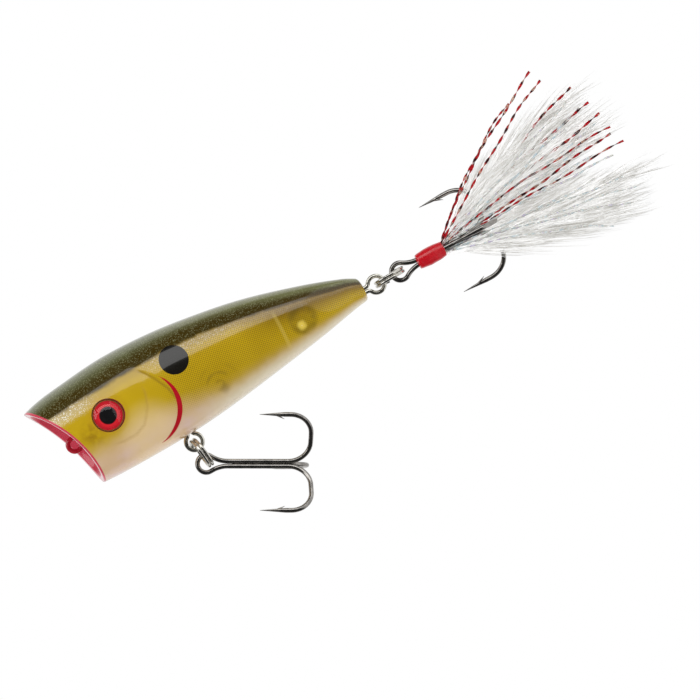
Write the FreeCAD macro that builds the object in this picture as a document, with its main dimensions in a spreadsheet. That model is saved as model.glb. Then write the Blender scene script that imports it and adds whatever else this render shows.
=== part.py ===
import FreeCAD, Part
import math
import os
import Sketcher

# Topwater popper lure, modelled as it hangs from its line.
# Origin: centre of the line-tie eye. +Z towards the nose, +X towards the back,
# -Y towards the lure's left flank. The halves of the shell meet in the XZ plane.

Vector = FreeCAD.Vector
Rotation = FreeCAD.Rotation
Placement = FreeCAD.Placement
ORIGIN = Vector(0, 0, 0)
X_AXIS = Vector(1, 0, 0)
Y_AXIS = Vector(0, 1, 0)
Z_AXIS = Vector(0, 0, 1)
SIDES = {"left": -1, "right": 1}

# Driving dimensions, in millimetres and degrees.
SIZES = {
    # shell
    "body_length": 70.0,
    "body_height": 21.7,
    "body_width": 18.6,
    "shell_wall": 1.3,
    "lip_reach": 5.8,
    "nose_block": 14.8,
    "tail_block": 7.5,
    "mouth_tilt": 21.8,
    "mouth_bow": 30.0,
    "mouth_setback": 3.7,
    "cup_depth": 5.6,
    "cup_rim": 0.9,
    # seams, locating pins and internal walls
    "pin_diameter": 1.6,
    "pin_reach": 1.4,
    "pin_boss": 4.0,
    "fit_gap": 0.03,
    "rib_thickness": 1.2,
    "boss_wall": 1.0,
    "chamber_start": 40.0,
    "chamber_length": 12.3,
    "tail_rib_station": 59.4,
    # wire eyes
    "tie_eye": 3.6,
    "tie_wire": 0.95,
    "tie_leg": 3.0,
    "hanger_eye": 4.15,
    "hanger_wire": 0.85,
    "hanger_leg": 1.4,
    "anchor_eye": 3.0,
    "belly_station": 26.7,
    "belly_eye_drop": 1.65,
    "tail_eye_drop": 2.7,
    # eyes
    "eye_station": 13.3,
    "eye_rise": 1.95,
    "eye_diameter": 6.2,
    "eye_recess": 1.0,
    "eye_foil": 0.2,
    "eye_bulge": 0.55,
    # ballast and rattle balls
    "front_slug_diameter": 5.0,
    "front_slug_length": 7.6,
    "front_slug_station": 35.5,
    "front_slug_rise": -3.1,
    "rear_slug_diameter": 3.4,
    "rear_slug_length": 5.6,
    "rear_slug_station": 55.6,
    "rear_slug_rise": 0.3,
    "ball_diameter": 4.0,
    "ball_gap": 0.1,
    # split rings
    "ring_outer": 6.6,
    "ring_wire": 0.65,
    "ring_pitch": 0.68,
    "ring_turns": 1.9,
    "belly_ring_lean": 6.5,
    "ring_play": 0.4,
    # treble hooks
    "hook_wire": 0.95,
    "hook_eye_width": 4.4,
    "hook_eye_crown": 2.8,
    "hook_neck": 6.0,
    "hook_shank": 15.4,
    "hook_bend": 4.2,
    "hook_gape": 10.2,
    "hook_prong": 1.1,
    "hook_point": 5.0,
    "third_start": 4.5,
    "belly_hook_swing": 28.0,
    # dressing
    "wrap_start": 3.1,
    "wrap_length": 5.4,
    "wrap_front": 2.4,
    "wrap_rear": 3.1,
    "hackle_root": 1.1,
    "hackle_girth": 10.4,
    "hackle_length": 45.0,
    "strand_diameter": 0.3,
    "strand_length": 42.0,
}

doc = FreeCAD.newDocument("topwater_popper")
sheet = doc.addObject("Spreadsheet::Sheet", "Sizes")
for row, (alias, number) in enumerate(SIZES.items(), start=1):
    sheet.set("A%d" % row, alias)
    sheet.set("B%d" % row, str(number))
    sheet.setAlias("B%d" % row, alias)
doc.recompute()


def size(alias):
    """The number that the sheet holds under an alias."""
    return float(getattr(sheet, alias))


def make(kind, name, place=None, **expressions):
    """Add an object, put it in place and bind its properties to the sheet."""
    item = doc.addObject(kind, name)
    if place:
        item.Placement = place
    for prop, text in expressions.items():
        item.setExpression(prop.replace("__", "."), text)
    return item


def fuse(name, shapes):
    item = doc.addObject("Part::MultiFuse", name)
    item.Shapes = shapes
    item.Refine = False
    return item


def cut(name, base, tool):
    item = doc.addObject("Part::Cut", name)
    item.Base = base
    item.Tool = tool
    item.Refine = False
    return item


def station_z(distance):
    """Height in the row frame of a point some distance behind the upper lip."""
    return size("lip_reach") - distance


def across(x, y, z):
    """Stand a cylinder's axis along +Y, starting at a point."""
    return Placement(Vector(x, y, z), Rotation(X_AXIS, -90))


# ---------------------------------------------------------------- body forms
# A station is a share of the length behind the upper lip; its oval's centre
# and half height are shares of the body height.
STATIONS = [
    (-0.03, 0.032, 0.392),
    (0.043, 0.048, 0.445),
    (0.126, 0.055, 0.479),
    (0.253, 0.078, 0.500),
    (0.382, 0.086, 0.490),
    (0.504, 0.089, 0.453),
    (0.671, 0.089, 0.370),
    (0.840, 0.065, 0.253),
    (0.960, 0.040, 0.148),
    (1.000, 0.018, 0.106),
]
MOUTH_CENTRE_SHARE = 0.016
MOUTH_CHORD_SHARE = 0.917
MOUTH_WIDTH_SHARE = 0.445


def oval_form(name, inset):
    """Loft ovals through the stations, each drawn in by the inset."""
    tall = size("body_height") >= size("body_width")
    turn = Placement(ORIGIN, Rotation(Z_AXIS, 0 if tall else 90))
    ovals = []
    for index, (share, centre, half) in enumerate(STATIONS):
        height = "%g * Sizes.body_height - %s" % (half, inset)
        width = "%g * Sizes.body_width - %s" % (half, inset)
        ovals.append(make(
            "Part::Ellipse", "%s_oval_%d" % (name, index), turn,
            MajorRadius=height if tall else width,
            MinorRadius=width if tall else height,
            Placement__Base__x="%g * Sizes.body_height" % centre,
            Placement__Base__z="Sizes.lip_reach - %g * Sizes.body_length" % share))
    form = doc.addObject("Part::Loft", name)
    form.Sections = ovals
    form.Solid = True
    return form


outer_form = oval_form("outer_form", "0")
inner_form = oval_form("inner_form", "Sizes.shell_wall")
doc.recompute()


def skin(x, z, direction):
    """How far the outer skin is from the point (x, 0, z) in a direction."""
    start = Vector(x, 0, z)
    ray = Part.makeLine(start, start + direction * 2 * size("body_height"))
    return outer_form.Shape.common(ray).Length


def mid_height(z):
    """Height of the body's middle line at a station."""
    return (skin(0, z, X_AXIS) - skin(0, z, -X_AXIS)) / 2


# ---------------------------------------------------------------- wire eyes
def arc_about(start, end, centre):
    """The short arc between two points about a centre."""
    spoke = (start - centre) + (end - centre)
    spoke.normalize()
    middle = centre + spoke * (start - centre).Length
    return Part.Arc(start, middle, end).toShape()


def straight(start, end):
    return Part.makeLine(start, end)


def sweep(name, edges, start, heading, diameter):
    """Sweep a round wire of a bound diameter along tangent edges."""
    path = doc.addObject("Part::Feature", name + "_path")
    path.Shape = Part.Wire(edges)
    section = make("Part::Circle", name + "_section",
                   Placement(start, Rotation(Z_AXIS, heading)),
                   Radius="(%s) / 2" % diameter)
    item = doc.addObject("Part::Sweep", name)
    item.Sections = [section]
    item.Spine = (path, ["Edge%d" % (index + 1) for index in range(len(edges))])
    item.Solid = True
    return item


def figure_eight(wire, eye, anchor, leg, sign):
    """One side of a wire with an eye round the origin and an anchor loop below it."""
    waist = wire
    half = (wire + size("fit_gap")) / 2
    eye_radius = (eye - wire) / 2
    anchor_radius = (anchor - wire) / 2
    side = waist + half
    upper = -math.sqrt((eye_radius + waist) ** 2 - side ** 2)
    lower = upper - leg
    base = lower - math.sqrt((anchor_radius + waist) ** 2 - side ** 2)
    eye_share = eye_radius / (eye_radius + waist)
    anchor_share = anchor_radius / (anchor_radius + waist)
    crown = Vector(0, 0, eye_radius)
    shoulder = Vector(sign * side * eye_share, 0, upper * eye_share)
    top = Vector(sign * half, 0, upper)
    foot = Vector(sign * half, 0, lower)
    heel = Vector(sign * side * anchor_share, 0, base + (lower - base) * anchor_share)
    sole = Vector(0, 0, base - anchor_radius)
    return crown, [
        Part.Arc(crown, Vector(sign * eye_radius, 0, 0), shoulder).toShape(),
        arc_about(shoulder, top, Vector(sign * side, 0, upper)),
        straight(top, foot),
        arc_about(foot, heel, Vector(sign * side, 0, lower)),
        Part.Arc(heel, Vector(sign * anchor_radius, 0, base), sole).toShape(),
    ]


def wire_eye(node, kind, anchor, place):
    """A figure-eight wire in place, and the groove that the shell holds it in."""
    wire = "Sizes.%s_wire" % kind
    halves = {"wire": [], "groove": []}
    for label, sign in (("a", 1), ("b", -1)):
        crown, edges = figure_eight(size(kind + "_wire"), size(kind + "_eye"),
                                    size(anchor), size(kind + "_leg"), sign)
        for role, diameter in (("wire", wire), ("groove", wire + " + 2 * Sizes.fit_gap")):
            name = "%s_%s_%s" % (node, role, label)
            halves[role].append(sweep(name, edges, crown, X_AXIS * sign, diameter))
    eye = fuse(node, halves["wire"])
    eye.Placement = place
    for groove in halves["groove"]:
        groove.Placement = place
    return eye, halves["groove"]


belly_z = station_z(size("belly_station"))
belly_skin = -skin(0, belly_z, -X_AXIS)
belly_eye = Vector(belly_skin - size("belly_eye_drop"), 0, belly_z)
tail_face = station_z(size("body_length"))
tail_eye = Vector(0, 0, tail_face - size("tail_eye_drop"))

line_tie, tie_groove = wire_eye("line_tie", "tie", "anchor_eye", Placement())
belly_hanger, belly_groove = wire_eye(
    "belly_hanger", "hanger", "anchor_eye", Placement(belly_eye, Rotation(Y_AXIS, -90)))
tail_hanger, tail_groove = wire_eye(
    "tail_hanger", "hanger", "anchor_eye", Placement(tail_eye, Rotation(Y_AXIS, 180)))

# ---------------------------------------------------------------- eyes
eye_z = station_z(size("eye_station"))
eye_x = size("eye_rise")
eye_skin = skin(eye_x, eye_z, Y_AXIS)
eye_floor = eye_skin - size("eye_recess")
EYE_RADIUS = "Sizes.eye_diameter / 2"
DOME_HEIGHT = "(Sizes.eye_recess - Sizes.eye_foil + Sizes.eye_bulge)"
DOME_RADIUS = "((Sizes.eye_diameter ^ 2 / 4 + %s ^ 2) / (2 * %s))" % (DOME_HEIGHT, DOME_HEIGHT)


def facing(side, distance):
    """Stand a piece at the eye with its local +Z out of one flank."""
    return Placement(Vector(eye_x, side * distance, eye_z), Rotation(X_AXIS, -90 * side))


def eye_pieces(name, side):
    """The foil disc, the clear dome over it and the recess they sit in."""
    foil = make("Part::Cylinder", "eye_foil_" + name, facing(side, eye_floor),
                Radius=EYE_RADIUS, Height="Sizes.eye_foil")
    dome = doc.addObject("Part::Sphere", "eye_dome_" + name)
    dome.setExpression("Radius", DOME_RADIUS)
    dome.setExpression("Angle1", "asin(1 - %s / %s)" % (DOME_HEIGHT, DOME_RADIUS))
    height = size("eye_recess") - size("eye_foil") + size("eye_bulge")
    radius = ((size("eye_diameter") / 2) ** 2 + height ** 2) / (2 * height)
    dome.Placement = facing(side, eye_floor + size("eye_foil") + height - radius)
    recess = make("Part::Cylinder", "eye_recess_" + name, facing(side, eye_floor),
                  Radius=EYE_RADIUS + " + Sizes.fit_gap", Height="Sizes.eye_diameter")
    pad = make("Part::Cylinder", "eye_pad_" + name, facing(side, eye_floor - size("boss_wall")),
               Radius=EYE_RADIUS + " + Sizes.boss_wall", Height="Sizes.eye_diameter")
    return foil, dome, recess, pad


eyes = {name: eye_pieces(name, side) for name, side in SIDES.items()}

# ---------------------------------------------------------------- ballast and rattle balls
def ballast(name):
    """A slug lying across the body, its bore and the boss around it."""
    x = size(name + "_rise")
    z = station_z(size(name + "_station"))
    radius = "Sizes.%s_diameter / 2" % name
    length = "Sizes.%s_length" % name
    half = size(name + "_length") / 2
    gap = size("fit_gap")
    slug = make("Part::Cylinder", name, across(x, -half, z), Radius=radius, Height=length)
    bore = make("Part::Cylinder", name + "_bore", across(x, -half - gap, z),
                Radius=radius + " + Sizes.fit_gap", Height=length + " + 2 * Sizes.fit_gap")
    boss = make("Part::Cylinder", name + "_boss", across(x, -size("body_width") / 2, z),
                Radius=radius + " + Sizes.fit_gap + Sizes.boss_wall", Height="Sizes.body_width")
    return slug, bore, boss


front_slug, front_bore, front_boss = ballast("front_slug")
rear_slug, rear_bore, rear_boss = ballast("rear_slug")

chamber_front = station_z(size("chamber_start"))
chamber_rear = chamber_front - size("chamber_length")
ball_z = chamber_rear + size("ball_gap") / 2 + size("ball_diameter") / 2
ball_step = (size("ball_diameter") + size("ball_gap")) / 2
balls = []
for name, side in (("upper", 1), ("lower", -1)):
    place = Placement(Vector(mid_height(ball_z) + side * ball_step, 0, ball_z), Rotation())
    balls.append(make("Part::Sphere", "rattle_ball_" + name, place,
                      Radius="Sizes.ball_diameter / 2"))

# ---------------------------------------------------------------- cavity
def slab(name, front, depth):
    """A block right across the body, from a front plane backwards."""
    reach = 2 * size("body_height")
    corner = Vector(-reach / 2, -reach / 2, front)
    item = make("Part::Box", name, Placement(corner, Rotation()),
                Length="2 * Sizes.body_height", Width="2 * Sizes.body_height", Height=depth)
    item.setExpression("Placement.Base.z", "%g - %s" % (front, depth))
    return item


ribs = [
    slab("solid_nose", station_z(-size("body_height")),
         "(Sizes.nose_block + Sizes.body_height)"),
    slab("solid_tail", station_z(size("body_length") - size("tail_block")),
         "(Sizes.tail_block + Sizes.body_height)"),
    slab("chamber_front_rib", chamber_front + size("rib_thickness"), "Sizes.rib_thickness"),
    slab("chamber_rear_rib", chamber_rear, "Sizes.rib_thickness"),
    slab("tail_rib", station_z(size("tail_rib_station")), "Sizes.rib_thickness"),
]
anchor_reach = size("hanger_eye") / 2 + size("hanger_leg") + size("anchor_eye")
anchor_block = make(
    "Part::Box", "belly_anchor_block",
    Placement(Vector(belly_skin - size("hanger_eye"), -size("body_width") / 2,
                     belly_z - size("anchor_eye") / 2 - size("boss_wall")), Rotation()),
    Width="Sizes.body_width", Height="Sizes.anchor_eye + 2 * Sizes.boss_wall")
anchor_block.Length = size("hanger_eye") + anchor_reach - size("belly_eye_drop") + size("boss_wall")

# Locating pins: x, and distance behind the upper lip.
PIN_PLACES = [(6.0, 12.8), (8.0, 28.0), (-4.6, 20.0), (1.0, 63.9)]


def pin_set(name, start, length, radius):
    """One short cylinder across the seam at each locating place."""
    pins = []
    for index, (x, distance) in enumerate(PIN_PLACES):
        place = across(x, start, station_z(distance))
        pins.append(make("Part::Cylinder", "%s_%d" % (name, index), place,
                         Radius=radius, Height=length))
    return pins


pins = pin_set("locating_pin", -size("pin_reach"), "2 * Sizes.pin_reach",
               "Sizes.pin_diameter / 2")
pin_holes = pin_set("locating_hole", -size("pin_reach"), "2.2 * Sizes.pin_reach",
                    "Sizes.pin_diameter / 2 + Sizes.fit_gap")
pin_bosses = pin_set("locating_boss", -size("body_width") / 2, "Sizes.body_width",
                     "Sizes.pin_boss / 2")
kept = fuse("kept_inside", ribs + [front_boss, rear_boss, anchor_block]
            + [parts[3] for parts in eyes.values()] + pin_bosses)
cavity = cut("cavity", inner_form, kept)

# ---------------------------------------------------------------- mouth
tilt = math.radians(size("mouth_tilt"))
outward = Vector(-math.sin(tilt), 0, math.cos(tilt))
mouth_centre = Vector(MOUTH_CENTRE_SHARE * size("body_height"), 0,
                      station_z(size("mouth_setback")))
half_chord = MOUTH_CHORD_SHARE * size("body_height") / 2
bow_centre = mouth_centre + outward * math.sqrt(size("mouth_bow") ** 2 - half_chord ** 2)
face_cutter = make("Part::Cylinder", "face_cutter",
                   across(bow_centre.x, -size("body_width"), bow_centre.z),
                   Radius="Sizes.mouth_bow", Height="2 * Sizes.body_width")
cup_cutter = make("Part::Ellipsoid", "cup_cutter",
                  Placement(mouth_centre, Rotation(Y_AXIS, -size("mouth_tilt"))),
                  Radius1="Sizes.cup_depth",
                  Radius2="%g * Sizes.body_height - Sizes.cup_rim" % (MOUTH_CHORD_SHARE / 2),
                  Radius3="%g * Sizes.body_width - Sizes.cup_rim" % MOUTH_WIDTH_SHARE)
cup_cutter.Angle1 = -90
cup_cutter.Angle2 = 90

# ---------------------------------------------------------------- shell halves
# The halves are mirror images; only the locating pins and holes differ.
reach = size("body_height")
other_side = make("Part::Box", "other_side",
                  Placement(Vector(-reach, -reach, tail_face - reach), Rotation()),
                  Length="2 * Sizes.body_height", Width="Sizes.body_height",
                  Height="Sizes.body_length + 3 * Sizes.body_height")
half_body = cut("half_form", outer_form, other_side)
cutters = [face_cutter, cup_cutter, cavity, front_bore, rear_bore, eyes["right"][2]]
for cutter in cutters + tie_groove + belly_groove + tail_groove:
    half_body = cut("half_less_" + cutter.Name, half_body, cutter)
mirror_half = doc.addObject("Part::Mirroring", "mirror_half")
mirror_half.Source = half_body
mirror_half.Normal = Y_AXIS
shell_left = fuse("body_shell_left", [mirror_half] + pins)
shell_right = cut("body_shell_right", half_body, fuse("locating_holes", pin_holes))


# ---------------------------------------------------------------- split rings
def origin_plane(body, role):
    return [item for item in body.Origin.OriginFeatures if item.Role == role][0]


def split_ring(node, place):
    """A coil of nearly two turns about local Z, centred on the origin."""
    body = doc.addObject("PartDesign::Body", node)
    sketch = body.newObject("Sketcher::SketchObject", node + "_wire")
    sketch.AttachmentSupport = [(origin_plane(body, "XZ_Plane"), "")]
    sketch.MapMode = "FlatFace"
    coil = (size("ring_outer") - size("ring_wire")) / 2
    drop = -size("ring_pitch") * size("ring_turns") / 2
    sketch.addGeometry(Part.Circle(Vector(coil, drop, 0), Z_AXIS, size("ring_wire") / 2), False)
    sketch.addConstraint(Sketcher.Constraint("DistanceX", -1, 1, 0, 3, coil))
    sketch.addConstraint(Sketcher.Constraint("DistanceY", -1, 1, 0, 3, drop))
    sketch.addConstraint(Sketcher.Constraint("Diameter", 0, size("ring_wire")))
    sketch.setExpression("Constraints[0]", "(Sizes.ring_outer - Sizes.ring_wire) / 2")
    sketch.setExpression("Constraints[1]", "-Sizes.ring_pitch * Sizes.ring_turns / 2")
    sketch.setExpression("Constraints[2]", "Sizes.ring_wire")
    doc.recompute()
    helix = body.newObject("PartDesign::AdditiveHelix", node + "_coil")
    helix.Profile = sketch
    helix.ReferenceAxis = (sketch, ["V_Axis"])
    helix.Mode = 1
    helix.setExpression("Pitch", "Sizes.ring_pitch")
    helix.setExpression("Turns", "Sizes.ring_turns")
    body.Tip = helix
    body.Placement = place
    return body


coil_radius = (size("ring_outer") - size("ring_wire")) / 2
tail_ring_centre = tail_eye + Vector(0, 0, -coil_radius)
tail_ring = split_ring("tail_split_ring", Placement(
    tail_ring_centre, Rotation(Y_AXIS, 90) * Rotation(Z_AXIS, 90)))

lean = math.radians(size("belly_ring_lean"))
belly_line = Vector(-math.cos(lean), 0, -math.sin(lean))
belly_ring_centre = belly_eye + belly_line * (coil_radius - size("ring_play"))
belly_ring = split_ring("belly_split_ring", Placement(
    belly_ring_centre, Rotation(Y_AXIS, -size("belly_ring_lean")) * Rotation(Z_AXIS, 90)))

# ---------------------------------------------------------------- treble hooks
# Local frame: eye centre at the origin, shank along -Z, eye in the XZ plane,
# single wire and its point on the +Y side.
hook_wire = size("hook_wire")
leg_half = hook_wire / 2 + 0.01
third_rise = math.sqrt(hook_wire ** 2 - leg_half ** 2) + 0.02
shank = size("hook_shank")
bend = size("hook_bend")
gape = size("hook_gape")
SPREAD = {"right": Vector(math.cos(math.radians(-30)), math.sin(math.radians(-30)), 0),
          "left": Vector(math.cos(math.radians(210)), math.sin(math.radians(210)), 0),
          "third": Vector(0, 1, 0)}


def prong_points(foot, direction):
    """Where a prong starts to bend, runs out, turns back and starts to taper."""
    down = Vector(0, 0, -bend)
    return {
        "bend": foot,
        "bend_centre": foot + direction * bend,
        "out": foot + direction * bend + down,
        "far": foot + direction * (gape - bend) + down,
        "far_centre": foot + direction * (gape - bend),
        "back": foot + direction * gape,
        "taper": foot + direction * gape + Vector(0, 0, size("hook_prong")),
    }


def prong_edges(marks):
    """Edges from the start of the taper round the bend to the shank."""
    return [
        straight(marks["taper"], marks["back"]),
        arc_about(marks["back"], marks["far"], marks["far_centre"]),
        straight(marks["far"], marks["out"]),
        arc_about(marks["out"], marks["bend"], marks["bend_centre"]),
    ]


def flipped(edges):
    """The same run of edges, walked the other way."""
    turned = []
    for edge in reversed(edges):
        first, last = edge.Vertexes[0].Point, edge.Vertexes[-1].Point
        if edge.Curve.TypeId == "Part::GeomLine":
            turned.append(straight(last, first))
        else:
            middle = edge.valueAt((edge.FirstParameter + edge.LastParameter) / 2)
            turned.append(Part.Arc(last, middle, first).toShape())
    return turned


# Radii left at the tips; the barb's place along the point, its thickness and
# length in wire diameters, and its lean down the point and in to the shank.
POINT_TIP = 0.04
BARB_TIP = 0.03
BARB_ALONG = 0.36
BARB_THICK = 0.3
BARB_LENGTH = 2.1
BARB_DOWN = 0.86
BARB_IN = 0.5


def point_and_barb(name, marks, direction):
    """The tapered needle, with a barb on the side that faces the shank."""
    needle = make("Part::Cone", name + "_needle", Placement(marks["taper"], Rotation()),
                  Radius1="Sizes.hook_wire / 2", Height="Sizes.hook_point")
    needle.Radius2 = POINT_TIP
    root = marks["taper"] + Vector(0, 0, size("hook_point") * BARB_ALONG)
    lean_in = Vector(0, 0, -BARB_DOWN) - direction * BARB_IN
    barb = doc.addObject("Part::Cone", name + "_barb")
    barb.setExpression("Radius1", "Sizes.hook_wire * %g" % BARB_THICK)
    barb.Radius2 = BARB_TIP
    barb.setExpression("Height", "Sizes.hook_wire * %g" % BARB_LENGTH)
    barb.Placement = Placement(root, Rotation(Z_AXIS, lean_in))
    return [needle, barb]


def double_hook(node, place):
    """One wire: point, bend, shank leg, eye, shank leg, bend, point."""
    right = prong_points(Vector(leg_half, 0, -shank), SPREAD["right"])
    left = prong_points(Vector(-leg_half, 0, -shank), SPREAD["left"])
    eye_radius = (size("hook_eye_width") - hook_wire) / 2
    eye_centre = size("hook_eye_crown") - hook_wire / 2 - eye_radius
    neck = size("hook_neck")
    side = neck + leg_half
    neck_z = eye_centre - math.sqrt((eye_radius + neck) ** 2 - side ** 2)
    share = eye_radius / (eye_radius + neck)
    shoulder = Vector(side * share, 0, eye_centre + (neck_z - eye_centre) * share)
    mirror_shoulder = Vector(-shoulder.x, 0, shoulder.z)
    top_right = Vector(leg_half, 0, neck_z)
    top_left = Vector(-leg_half, 0, neck_z)
    edges = prong_edges(right)
    edges.append(straight(right["bend"], top_right))
    edges.append(arc_about(top_right, shoulder, Vector(side, 0, neck_z)))
    crown = Vector(0, 0, eye_centre + eye_radius)
    edges.append(Part.Arc(shoulder, crown, mirror_shoulder).toShape())
    edges.append(arc_about(mirror_shoulder, top_left, Vector(-side, 0, neck_z)))
    edges.append(straight(top_left, left["bend"]))
    edges += flipped(prong_edges(left))
    wire = sweep(node + "_wire", edges, right["taper"], Z_AXIS, "Sizes.hook_wire")
    tips = point_and_barb(node + "_right", right, SPREAD["right"])
    tips += point_and_barb(node + "_left", left, SPREAD["left"])
    hook = fuse(node, [wire] + tips)
    hook.Placement = place
    return hook


def single_hook(node, place):
    """The third wire, laid in the groove between the two shank legs."""
    marks = prong_points(Vector(0, third_rise, -shank), SPREAD["third"])
    edges = prong_edges(marks)
    edges.append(straight(marks["bend"], Vector(0, third_rise, -size("third_start"))))
    wire = sweep(node + "_wire", edges, marks["taper"], Z_AXIS, "Sizes.hook_wire")
    hook = fuse(node, [wire] + point_and_barb(node, marks, SPREAD["third"]))
    hook.Placement = place
    return hook


tail_hook_eye = tail_ring_centre + Vector(0, 0, -coil_radius)
tail_hook_place = Placement(tail_hook_eye, Rotation(Z_AXIS, 180))
belly_hook_eye = belly_ring_centre + belly_line * (coil_radius - size("ring_play"))
belly_hook_place = Placement(belly_hook_eye, Rotation(Y_AXIS, size("belly_hook_swing")))

belly_double = double_hook("belly_double_hook", belly_hook_place)
belly_third = single_hook("belly_third_hook", belly_hook_place)
tail_double = double_hook("tail_double_hook", tail_hook_place)
tail_third = single_hook("tail_third_hook", tail_hook_place)

# ---------------------------------------------------------------- dressing on the tail treble
# The wrap's middle lies this far from the double hook, towards the third shank.
WRAP_OFFSET = 0.4
wrap_rear_t = size("wrap_start") + size("wrap_length")
wrap_blank = make("Part::Cone", "wrap_blank",
                  tail_hook_place * Placement(Vector(0, WRAP_OFFSET, -wrap_rear_t), Rotation()),
                  Radius1="Sizes.wrap_rear / 2", Radius2="Sizes.wrap_front / 2",
                  Height="Sizes.wrap_length")
thread_wrap = cut("thread_wrap", wrap_blank, fuse("wrapped_wires", [tail_double, tail_third]))

wrap_rear = tail_hook_eye + Vector(0, 0, -wrap_rear_t)

# Hackle lobes fan out between the prongs: root offset and slope per unit length.
HACKLES = {
    "upper": (Vector(1.5, -0.9, 0), Vector(0.24, -0.10, -1)),
    "lower": (Vector(-1.5, -0.9, 0), Vector(-0.22, -0.10, -1)),
    "far": (Vector(0, 1.25, 0), Vector(0.02, 0.25, -1)),
}
# Outline of a lobe: share of the length, share of half the girth.
LOBE_OUTLINE = [(0.26, 0.5), (0.67, 1.0), (0.9, 0.8)]


def hackle(name, root, slope):
    """A plain spindle that fills the space of one bundle of feathers."""
    body = doc.addObject("PartDesign::Body", "hackle_" + name)
    sketch = body.newObject("Sketcher::SketchObject", "hackle_%s_outline" % name)
    sketch.AttachmentSupport = [(origin_plane(body, "XZ_Plane"), "")]
    sketch.MapMode = "FlatFace"
    corners = [("0", "0"), ("Sizes.hackle_root / 2", "0")]
    for along, out in LOBE_OUTLINE:
        corners.append(("%g * Sizes.hackle_girth / 2" % out, "%g * Sizes.hackle_length" % along))
    corners.append(("0", "Sizes.hackle_length"))
    places = [Vector(sheet.evalExpression(x), sheet.evalExpression(y), 0) for x, y in corners]
    for index, start in enumerate(places):
        end = places[(index + 1) % len(places)]
        sketch.addGeometry(Part.LineSegment(start, end))
    for index, (x, y) in enumerate(corners):
        sketch.addConstraint(Sketcher.Constraint(
            "Coincident", index, 1, (index - 1) % len(corners), 2))
        if index:
            for kind, text, number in (("DistanceX", x, places[index].x),
                                       ("DistanceY", y, places[index].y)):
                row = sketch.addConstraint(Sketcher.Constraint(kind, -1, 1, index, 1, number))
                if text != "0":
                    sketch.setExpression("Constraints[%d]" % row, text)
        else:
            sketch.addConstraint(Sketcher.Constraint("Coincident", 0, 1, -1, 1))
    doc.recompute()
    turn = body.newObject("PartDesign::Revolution", "hackle_%s_turned" % name)
    turn.Profile = sketch
    turn.ReferenceAxis = (sketch, ["V_Axis"])
    turn.Angle = 360
    body.Tip = turn
    body.Placement = Placement(wrap_rear + root, Rotation(Z_AXIS, slope))
    return body


hackles = [hackle(name, root, slope) for name, (root, slope) in HACKLES.items()]


# Half the gap left for the shanks between the roots, the roots' clearance behind
# the wrap, the lift of each strand over the last, and their three lengths.
SHANK_GAP = 1.5
ROOT_CLEARANCE = 0.02
STRAND_LIFT = 0.03
LENGTH_STEP = 0.05
LENGTHS = 3


def strands(node, root_y, count, low, high, share):
    """Straight thin strands that fan out from a row of roots behind the wrap."""
    cells = []
    for index in range(count):
        spread = low + (high - low) * index / (count - 1)
        away = 1 if spread > 0 else -1
        root = wrap_rear + Vector(away * SHANK_GAP + spread, root_y, -ROOT_CLEARANCE)
        lean_out = Vector(spread, root_y * STRAND_LIFT * (1 + index % LENGTHS), -1)
        strand = make("Part::Cylinder", "%s_%d" % (node, index),
                      Placement(root, Rotation(Z_AXIS, lean_out)),
                      Radius="Sizes.strand_diameter / 2",
                      Height="Sizes.strand_length * %g"
                      % (share + LENGTH_STEP * (index % LENGTHS)))
        cells.append(strand)
    group = doc.addObject("Part::Compound", node)
    group.Links = cells
    return group


red_flash = strands("red_flash", -1.9, 8, -0.16, 0.60, 0.86)
pearl_flash = strands("pearl_flash", -0.5, 8, -0.40, 0.46, 0.84)

# ---------------------------------------------------------------- checks and export
nodes = [shell_left, shell_right, line_tie, belly_hanger, tail_hanger,
         front_slug, rear_slug, tail_ring, belly_ring,
         belly_double, belly_third, tail_double, tail_third, thread_wrap,
         red_flash, pearl_flash]
nodes += balls + hackles
for foil, dome, recess, pad in eyes.values():
    nodes += [foil, dome]

doc.recompute()
for item in doc.Objects:
    if "Invalid" in item.State or "Error" in item.State:
        raise RuntimeError("%s failed: %s" % (item.Label, item.State))
for item in nodes:
    if item.Shape.isNull() or not item.Shape.isValid():
        raise RuntimeError("%s has no valid shape" % item.Label)

os.makedirs("parts", exist_ok=True)
for item in nodes:
    item.Shape.exportStep("parts/%s.step" % item.Label)
    print("%-20s %9.2f mm3 %d solid(s)" % (item.Label, item.Shape.Volume, len(item.Shape.Solids)))
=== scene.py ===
import math
import random
import bpy
from mathutils import Matrix, Vector, noise


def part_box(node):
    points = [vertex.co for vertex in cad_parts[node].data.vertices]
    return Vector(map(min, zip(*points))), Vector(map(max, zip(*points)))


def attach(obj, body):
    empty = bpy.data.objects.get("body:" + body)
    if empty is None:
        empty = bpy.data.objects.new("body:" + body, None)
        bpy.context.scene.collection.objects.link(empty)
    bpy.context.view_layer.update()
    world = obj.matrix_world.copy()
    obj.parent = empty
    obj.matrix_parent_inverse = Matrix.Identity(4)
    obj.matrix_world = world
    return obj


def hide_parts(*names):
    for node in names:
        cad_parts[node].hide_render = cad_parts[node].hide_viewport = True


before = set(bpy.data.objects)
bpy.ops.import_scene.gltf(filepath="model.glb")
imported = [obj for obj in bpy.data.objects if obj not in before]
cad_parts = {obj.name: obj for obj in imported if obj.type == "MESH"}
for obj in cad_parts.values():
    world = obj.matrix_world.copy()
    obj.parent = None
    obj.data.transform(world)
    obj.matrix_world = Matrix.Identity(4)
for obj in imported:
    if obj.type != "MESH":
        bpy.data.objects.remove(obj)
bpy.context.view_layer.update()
MM = 0.001


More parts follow.
